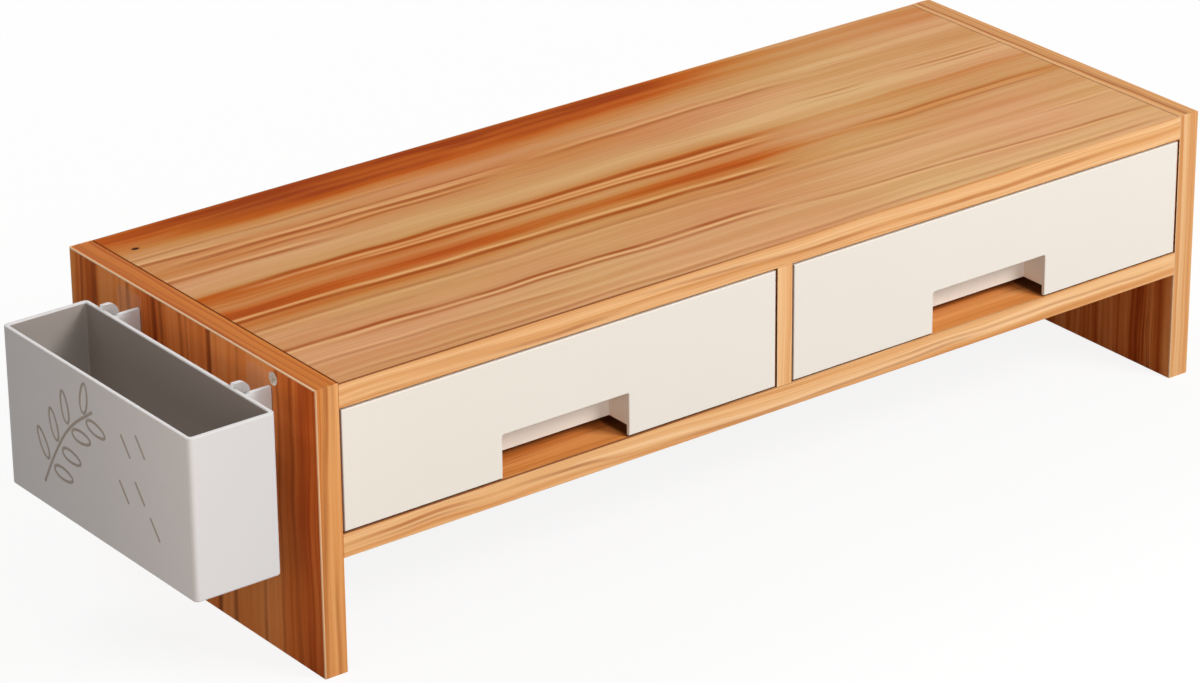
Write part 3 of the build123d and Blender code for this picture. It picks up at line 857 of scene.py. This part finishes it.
def moulded(net, colour, cloudiness, gloss, painted_deep_colour=None, pins=False):
    """A moulded plastic; may get a colour painted lighter deep down in the pen box, as painted light, or a
    drawer's pin marks.
    """
    place = object_place(net)
    # Painted light: the inside gets lighter towards the bottom
    if painted_deep_colour:
        near_rim = spread(net, split(net, place)[2], pen_low.z, pen_high.z)
        colour = blend(net, near_rim, painted_deep_colour, colour)
    inputs = {"Vector": place, "Color": colour, "Cloudiness": cloudiness, "Gloss": gloss}
    made = use_group(net, mould, inputs)
    colour = made["Color"]
    if pins:
        colour = laid_on(net, colour, pin_shade, pin_marks(net, place), pin_share)
    return surface(colour, made["Roughness"], made["Normal"], specular=0.45)


def clear_film(net):
    """Clear adhesive film: mostly see-through, with a slight sheen."""
    bubbles = noise(net, object_place(net), bubble_waves)
    sheen = surface(film_clear, 0.30, bumps(net, bubbles, 0.1, 0.1 * MM), specular=0.15)
    return {**sheen, "Alpha": film_alpha}


def plated_steel(net):
    """Bright plated steel with fine turning marks."""
    marks = noise(net, object_place(net), turning_waves, 3.0)
    roughness = spread(net, marks, 0.3, 0.7, 0.16, 0.34)
    return {"Base Color": steel, "Metallic": 0.5, "Roughness": roughness}


cream_material = new_material("cream moulding", moulded, cream, 0.025, 0.40, pins=True)
grey_material = new_material("grey moulding", moulded, light_grey, 0.03, 0.48)
bracket_lit_material = new_material("bracket moulding painted light", moulded, bracket_painted_light_grey, 0.03, 0.50)
finger_shade_material = new_material("hook finger painted shade", moulded, finger_painted_shade, 0.03, 0.50)
inside_painted_material = new_material("box inside painted shade and light", moulded, inside_painted_shade_grey, 0.05, 0.58, inside_deep_painted_light)
groove_shade_material = new_material("pressed lines painted shade", moulded, groove_painted_shade, 0.05, 0.62)
film_material = new_material("clear film", clear_film)
steel_material = new_material("plated steel", plated_steel)
print("plastic, film and steel materials ready")

# %% [markdown]
# ## Dressing the model's own pieces
# The pieces keep their shape. Only what they are made of changes, so each one gets one material in its
# first slot, and any further slots go.

# %% Materials onto the pieces
finishes = (
    (top_material, "top_panel"),
    (left_material, "left_side_panel"),
    (right_material, "right_side_panel"),
    (shelf_material, "drawer_shelf"),
    (divider_material, "centre_divider"),
    (rear_material, "back_panel"),
    (top_band_material, "top_front_edge_band", "top_rear_edge_band"),
    (shelf_band_material, "shelf_front_edge_band", "shelf_rear_edge_band"),
    (divider_band_material, "divider_edge_band"),
    (left_band_material, "left_side_edge_bands"),
    (right_band_material, "right_side_edge_bands"),
    (steel_material, "left_side_screws", "right_side_screws", "divider_screws"),
    (dowel_material, "top_panel_dowels", "shelf_dowels", "divider_dowels"),
    (cream_material, "left_drawer_tray", "right_drawer_tray"),
    (grey_material, "pen_box"),
    (bracket_lit_material, "front_hook_bracket", "rear_hook_bracket"),
    (film_material, "front_adhesive_pad", "rear_adhesive_pad"),
)


def dress(piece, material):
    """Gives a piece one material in its first slot."""
    piece.data.materials.clear()
    piece.data.materials.append(material)


bare = set(nodes)
for material, *names in finishes:
    for name in names:
        dress(nodes[name], material)
        bare.discard(name)
print("dressed:", len(nodes) - len(bare), "bare:", sorted(bare))

# %% [markdown]
# ## The pen box with its pressed drawing
# The outer face of the pen box carries a pressed line drawing: a sprig with a few short strokes. Each line
# is a thin round rod that lies half in the face and is cut away from the box, as the mould's raised line
# would leave it. The rods bring a darker grey to the grooves, as painted shade in them. The box is a copy
# of the packed mesh, and its loose triangles are merged first, because a cut needs a closed shell.

# %% The pen box as one closed mesh
def select_only(piece):
    """Makes one object the selected and active one."""
    bpy.ops.object.select_all(action="DESELECT")
    piece.select_set(True)
    bpy.context.view_layer.objects.active = piece


def add_object(name, data):
    """A new object at the origin, selected."""
    made = bpy.data.objects.new(name, data)
    bpy.context.scene.collection.objects.link(made)
    select_only(made)
    return made


def merged_copy(node_name, new_name):
    """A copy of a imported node's mesh as one closed shell, at the origin."""
    mesh = nodes[node_name].data.copy()
    mesh.name = new_name
    made = add_object(new_name, mesh)
    bpy.ops.object.mode_set(mode="EDIT")
    bpy.ops.mesh.select_all(action="SELECT")
    bpy.ops.mesh.remove_doubles(threshold=0.000005)
    bpy.ops.mesh.tris_convert_to_quads(face_threshold=math.radians(1.0), shape_threshold=math.radians(40.0))
    bpy.ops.object.mode_set(mode="OBJECT")
    return made


pen_box_piece = merged_copy("pen_box", "pen_box_pressed")
print("pen box faces:", len(pen_box_piece.data.polygons))

# %% Lines of the drawing
groove_width = 1.9 * MM
groove_depth = 0.45 * MM
# Metres behind the front end of the box and above its foot: a stem with pairs of leaves, and short strokes
stem_points = ((0.122, 0.012), (0.112, 0.029), (0.098, 0.047), (0.078, 0.062))
leaf_steps = (0.20, 0.42, 0.64, 0.86)
leaf_long = 15.0 * MM
leaf_fat = 5.6 * MM
leaf_off = 3.2 * MM
leaf_points = 10
leaf_slim = 0.15
leaf_degrees = 62.0
leaf_degrees_less = 6.0
strokes = (
    ((0.055, 0.060), (0.048, 0.051)),
    ((0.043, 0.064), (0.036, 0.055)),
    ((0.058, 0.037), (0.051, 0.028)),
    ((0.045, 0.041), (0.038, 0.032)),
    ((0.034, 0.028), (0.027, 0.019)),
)


def leaf_outline(foot, heading):
    """Points round one leaf: an ellipse that is a little slimmer towards its tip."""
    side = Vector((-heading.y, heading.x))
    middle = foot + heading * leaf_long * 0.5
    points = []
    for count in range(leaf_points):
        turn = 2.0 * math.pi * count / leaf_points
        slimmer = 1.0 - leaf_slim * math.cos(turn)
        out = heading * leaf_long * 0.5 * math.cos(turn)
        points.append(middle + out + side * leaf_fat * 0.5 * math.sin(turn) * slimmer)
    return points


def drawing_lines():
    """All lines of the drawing, each with its points on the face and whether it closes."""
    stem = [Vector(spot) for spot in stem_points]
    lines = [(stem, False)]
    for count, step in enumerate(leaf_steps):
        reach = step * (len(stem) - 1)
        first = min(int(reach), len(stem) - 2)
        root = stem[first].lerp(stem[first + 1], reach - first)
        heading = (stem[first + 1] - stem[first]).normalized()
        spread_degrees = leaf_degrees - leaf_degrees_less * count
        for degrees in (spread_degrees, -spread_degrees):
            leaf_way = Matrix.Rotation(math.radians(degrees), 2) @ heading
            lines.append((leaf_outline(root + leaf_way * leaf_off, leaf_way), True))
    for first, last in strokes:
        lines.append(([Vector(first), Vector(last)], False))
    return lines


# %% The lines as thin rods
rod_depth = pen_low.x + groove_depth - groove_width * 0.5


def add_spline(curve, points, closed):
    """One line of the drawing as a smooth spline in the outer face of the box."""
    spline = curve.splines.new("BEZIER")
    spline.bezier_points.add(len(points) - 1)
    spline.use_cyclic_u = closed
    for handle, spot in zip(spline.bezier_points, points):
        handle.co = (rod_depth, pen_low.y + spot.x, pen_low.z + spot.y)
        handle.handle_left_type = "AUTO"
        handle.handle_right_type = "AUTO"


def make_rods():
    """All lines as round rods that lie half in the outer face, as one mesh."""
    curve = bpy.data.curves.new("rods", "CURVE")
    curve.dimensions = "3D"
    curve.bevel_depth = groove_width * 0.5
    curve.bevel_resolution = 3
    curve.use_fill_caps = True
    curve.resolution_u = 4
    for points, closed in drawing_lines():
        add_spline(curve, points, closed)
    add_object("rods", curve)
    bpy.ops.object.convert(target="MESH")
    made = bpy.context.object
    bpy.ops.object.mode_set(mode="EDIT")
    bpy.ops.mesh.select_all(action="SELECT")
    bpy.ops.mesh.normals_make_consistent(inside=False)
    bpy.ops.object.mode_set(mode="OBJECT")
    dress(made, groove_shade_material)
    return made


def cut(piece, tool):
    """Cuts a tool away from a piece and deletes the tool."""
    select_only(piece)
    cutting = piece.modifiers.new("cut", "BOOLEAN")
    cutting.operation = "DIFFERENCE"
    cutting.solver = "EXACT"
    cutting.use_self = True
    cutting.material_mode = "TRANSFER"
    cutting.object = tool
    bpy.ops.object.modifier_apply(modifier=cutting.name)
    bpy.data.objects.remove(tool)


dress(pen_box_piece, grey_material)
cut(pen_box_piece, make_rods())
print("pen box after the cut:", len(pen_box_piece.data.polygons), "faces")

# %% Painted shade and light on the pen box
# The imported box stands this far off the board, and its rim lies this far below the stand's top
hook_gap = 18.5 * MM
rim_drop = 5.5 * MM
skin = 1.6 * MM
rim_skin = 0.75 * MM
touch = 0.05 * MM


def paint_pen_box_shade(piece):
    """Gives the inside its painted shade and light, and the hooks their painted shade; a finger's rim keeps
    the box's lighter grey as a lip.
    """
    mesh = piece.data
    mesh.materials.append(inside_painted_material)
    mesh.materials.append(finger_shade_material)
    inside_shade_slot = len(mesh.materials) - 2
    finger_shade_slot = len(mesh.materials) - 1
    wall_outside = left_low.x - hook_gap
    rim = stand_top - rim_drop
    for face in mesh.polygons:
        spot = face.center
        within_length = pen_low.y + skin < spot.y < pen_high.y - skin
        within_depth = pen_low.x + skin < spot.x < wall_outside - skin
        within_height = pen_low.z + skin < spot.z < rim - rim_skin
        above_rim = spot.z > rim + touch
        if above_rim and abs(face.normal.y) < 0.5:
            continue
        if spot.x > wall_outside + touch or above_rim:
            face.material_index = finger_shade_slot
        elif within_length and within_depth and within_height:
            face.material_index = inside_shade_slot
    slots = [face.material_index for face in mesh.polygons]
    print("inside faces:", slots.count(inside_shade_slot), "finger faces:", slots.count(finger_shade_slot))


def shade_smooth(piece, degrees):
    """Smooth shading that stays flat on large faces."""
    select_only(piece)
    bpy.ops.object.shade_smooth_by_angle(angle=math.radians(degrees))
    weighted = piece.modifiers.new("even shading", "WEIGHTED_NORMAL")
    weighted.keep_sharp = True
    bpy.ops.object.modifier_apply(modifier=weighted.name)


paint_pen_box_shade(pen_box_piece)
shade_smooth(pen_box_piece, degrees=32.0)
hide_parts("pen_box")
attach(pen_box_piece, "hanging_box")

# %% [markdown]
# ## The clear films
# Each bracket holds on a clear double-sided film. It is almost invisible, apart from its cut corners and a
# slight sheen. It keeps a hair's breadth off the board, because two faces in one place hide each other at
# random. A block is scaled to size, and only its four edges that run out from the board are rounded.

# %% Films
film_corner = 3.0 * MM
film_off = 0.04 * MM


def make_film(node_name, new_name):
    """A film with round corners in place of a packed pad."""
    low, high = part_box(node_name)
    high = Vector((high.x - film_off, high.y, high.z))
    bpy.ops.mesh.primitive_cube_add(size=1.0, location=(low + high) / 2)
    film = bpy.context.object
    film.name = new_name
    film.scale = high - low
    bpy.ops.object.transform_apply(location=True, rotation=True, scale=True)
    bpy.ops.object.mode_set(mode="EDIT")
    bpy.ops.mesh.select_mode(type="EDGE")
    bpy.ops.mesh.select_all(action="DESELECT")
    bpy.ops.object.mode_set(mode="OBJECT")
    for edge in film.data.edges:
        ends = [film.data.vertices[v].co for v in edge.vertices]
        edge.select = abs(ends[0].x - ends[1].x) > 0.1 * MM
    bpy.ops.object.mode_set(mode="EDIT")
    bpy.ops.mesh.bevel(offset=film_corner, segments=6)
    bpy.ops.object.mode_set(mode="OBJECT")
    dress(film, film_material)
    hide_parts(node_name)
    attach(film, "stand")
    return film


front_film = make_film("front_adhesive_pad", "front_film")
rear_film = make_film("rear_adhesive_pad", "rear_film")
print("films:", front_film.name, rear_film.name)

# %% [markdown]
# ## Floor and light
# The photograph has a pure white ground. The floor is bright to the camera only: other rays see a plain
# grey, so it doesn't throw light up at the object. A large soft lamp stands to the right in front, which
# leaves the left side in shade, and the world gives the shade its level.

# %% Floor
floor_size = 12.0
floor_grey = 0.34
floor_middle = (0.0, 2.0, 0.0)
shadow_share = 0.12


def for_the_eye(net, plain, seen):
    """One shader for rays from the camera, also by mirror and glass, and a plain one for all others."""
    path = put(net, "LightPath").outputs
    either = calc(net, "MAXIMUM", path["Is Camera Ray"], path["Is Glossy Ray"])
    either = calc(net, "MAXIMUM", either, path["Is Transmission Ray"])
    return put(net, "MixShader", {0: either, 1: plain.outputs[0], 2: seen.outputs[0]}).outputs[0]


bpy.ops.mesh.primitive_plane_add(size=floor_size, location=floor_middle)
floor = bpy.context.object
floor.name = "floor"
floor_material = bpy.data.materials.new("white ground")
floor_material.use_nodes = True
ground = floor_material.node_tree
ground.nodes.clear()
shade = put(ground, "BsdfDiffuse", {"Color": grey(1.0)})
glow = put(ground, "Emission", {"Color": grey(1.0), "Strength": 1.0})
seen = put(ground, "MixShader", {0: shadow_share, 1: glow.outputs[0], 2: shade.outputs[0]})
plain = put(ground, "BsdfDiffuse", {"Color": grey(floor_grey)})
put(ground, "OutputMaterial", {"Surface": for_the_eye(ground, plain, seen)})
floor.data.materials.append(floor_material)
print("floor:", floor_size, "m")

# %% Lamps and world
world_level = 0.26
world_tint = (1.0, 0.985, 0.96, 1.0)
aim = Vector((0.0, 0.0, 0.07))
# One lamp each: name, place, size, watts and colour
lamps = (
    ("key lamp", (0.95, -1.72, 1.45), 0.9, 38.5, (1.0, 1.0, 1.0)),
    ("front lamp", (-0.30, -2.40, 0.60), 1.0, 10.5, (1.0, 1.0, 1.0)),
    ("left lamp", (-0.48, -0.21, 0.16), 0.15, 0.172, (1.0, 0.80, 0.66)),
    ("rear lamp", (-0.15, 1.60, 1.90), 1.2, 24.5, (1.0, 1.0, 1.0)),
)
# Each lamp is a square that faces the object and isn't seen itself
for name, place, size, watts, colour in lamps:
    bpy.ops.object.light_add(type="AREA", location=place)
    lamp = bpy.context.object
    lamp.name = name
    lamp.rotation_euler = (aim - Vector(place)).to_track_quat("-Z", "Y").to_euler()
    lamp.data.size = size
    lamp.data.energy = watts
    lamp.data.color = colour
    lamp.visible_camera = False
world = bpy.data.worlds.new("white room")
bpy.context.scene.world = world
world.use_nodes = True
room = world.node_tree
room.nodes.clear()
dim = put(room, "Background", {"Color": world_tint, "Strength": world_level})
white = put(room, "Background", {"Color": grey(1.0), "Strength": 1.0})
put(room, "OutputWorld", {"Surface": for_the_eye(room, dim, white)})
bpy.context.scene.view_settings.view_transform = "Standard"
print("lamps:", len(lamps), "world:", world_level)
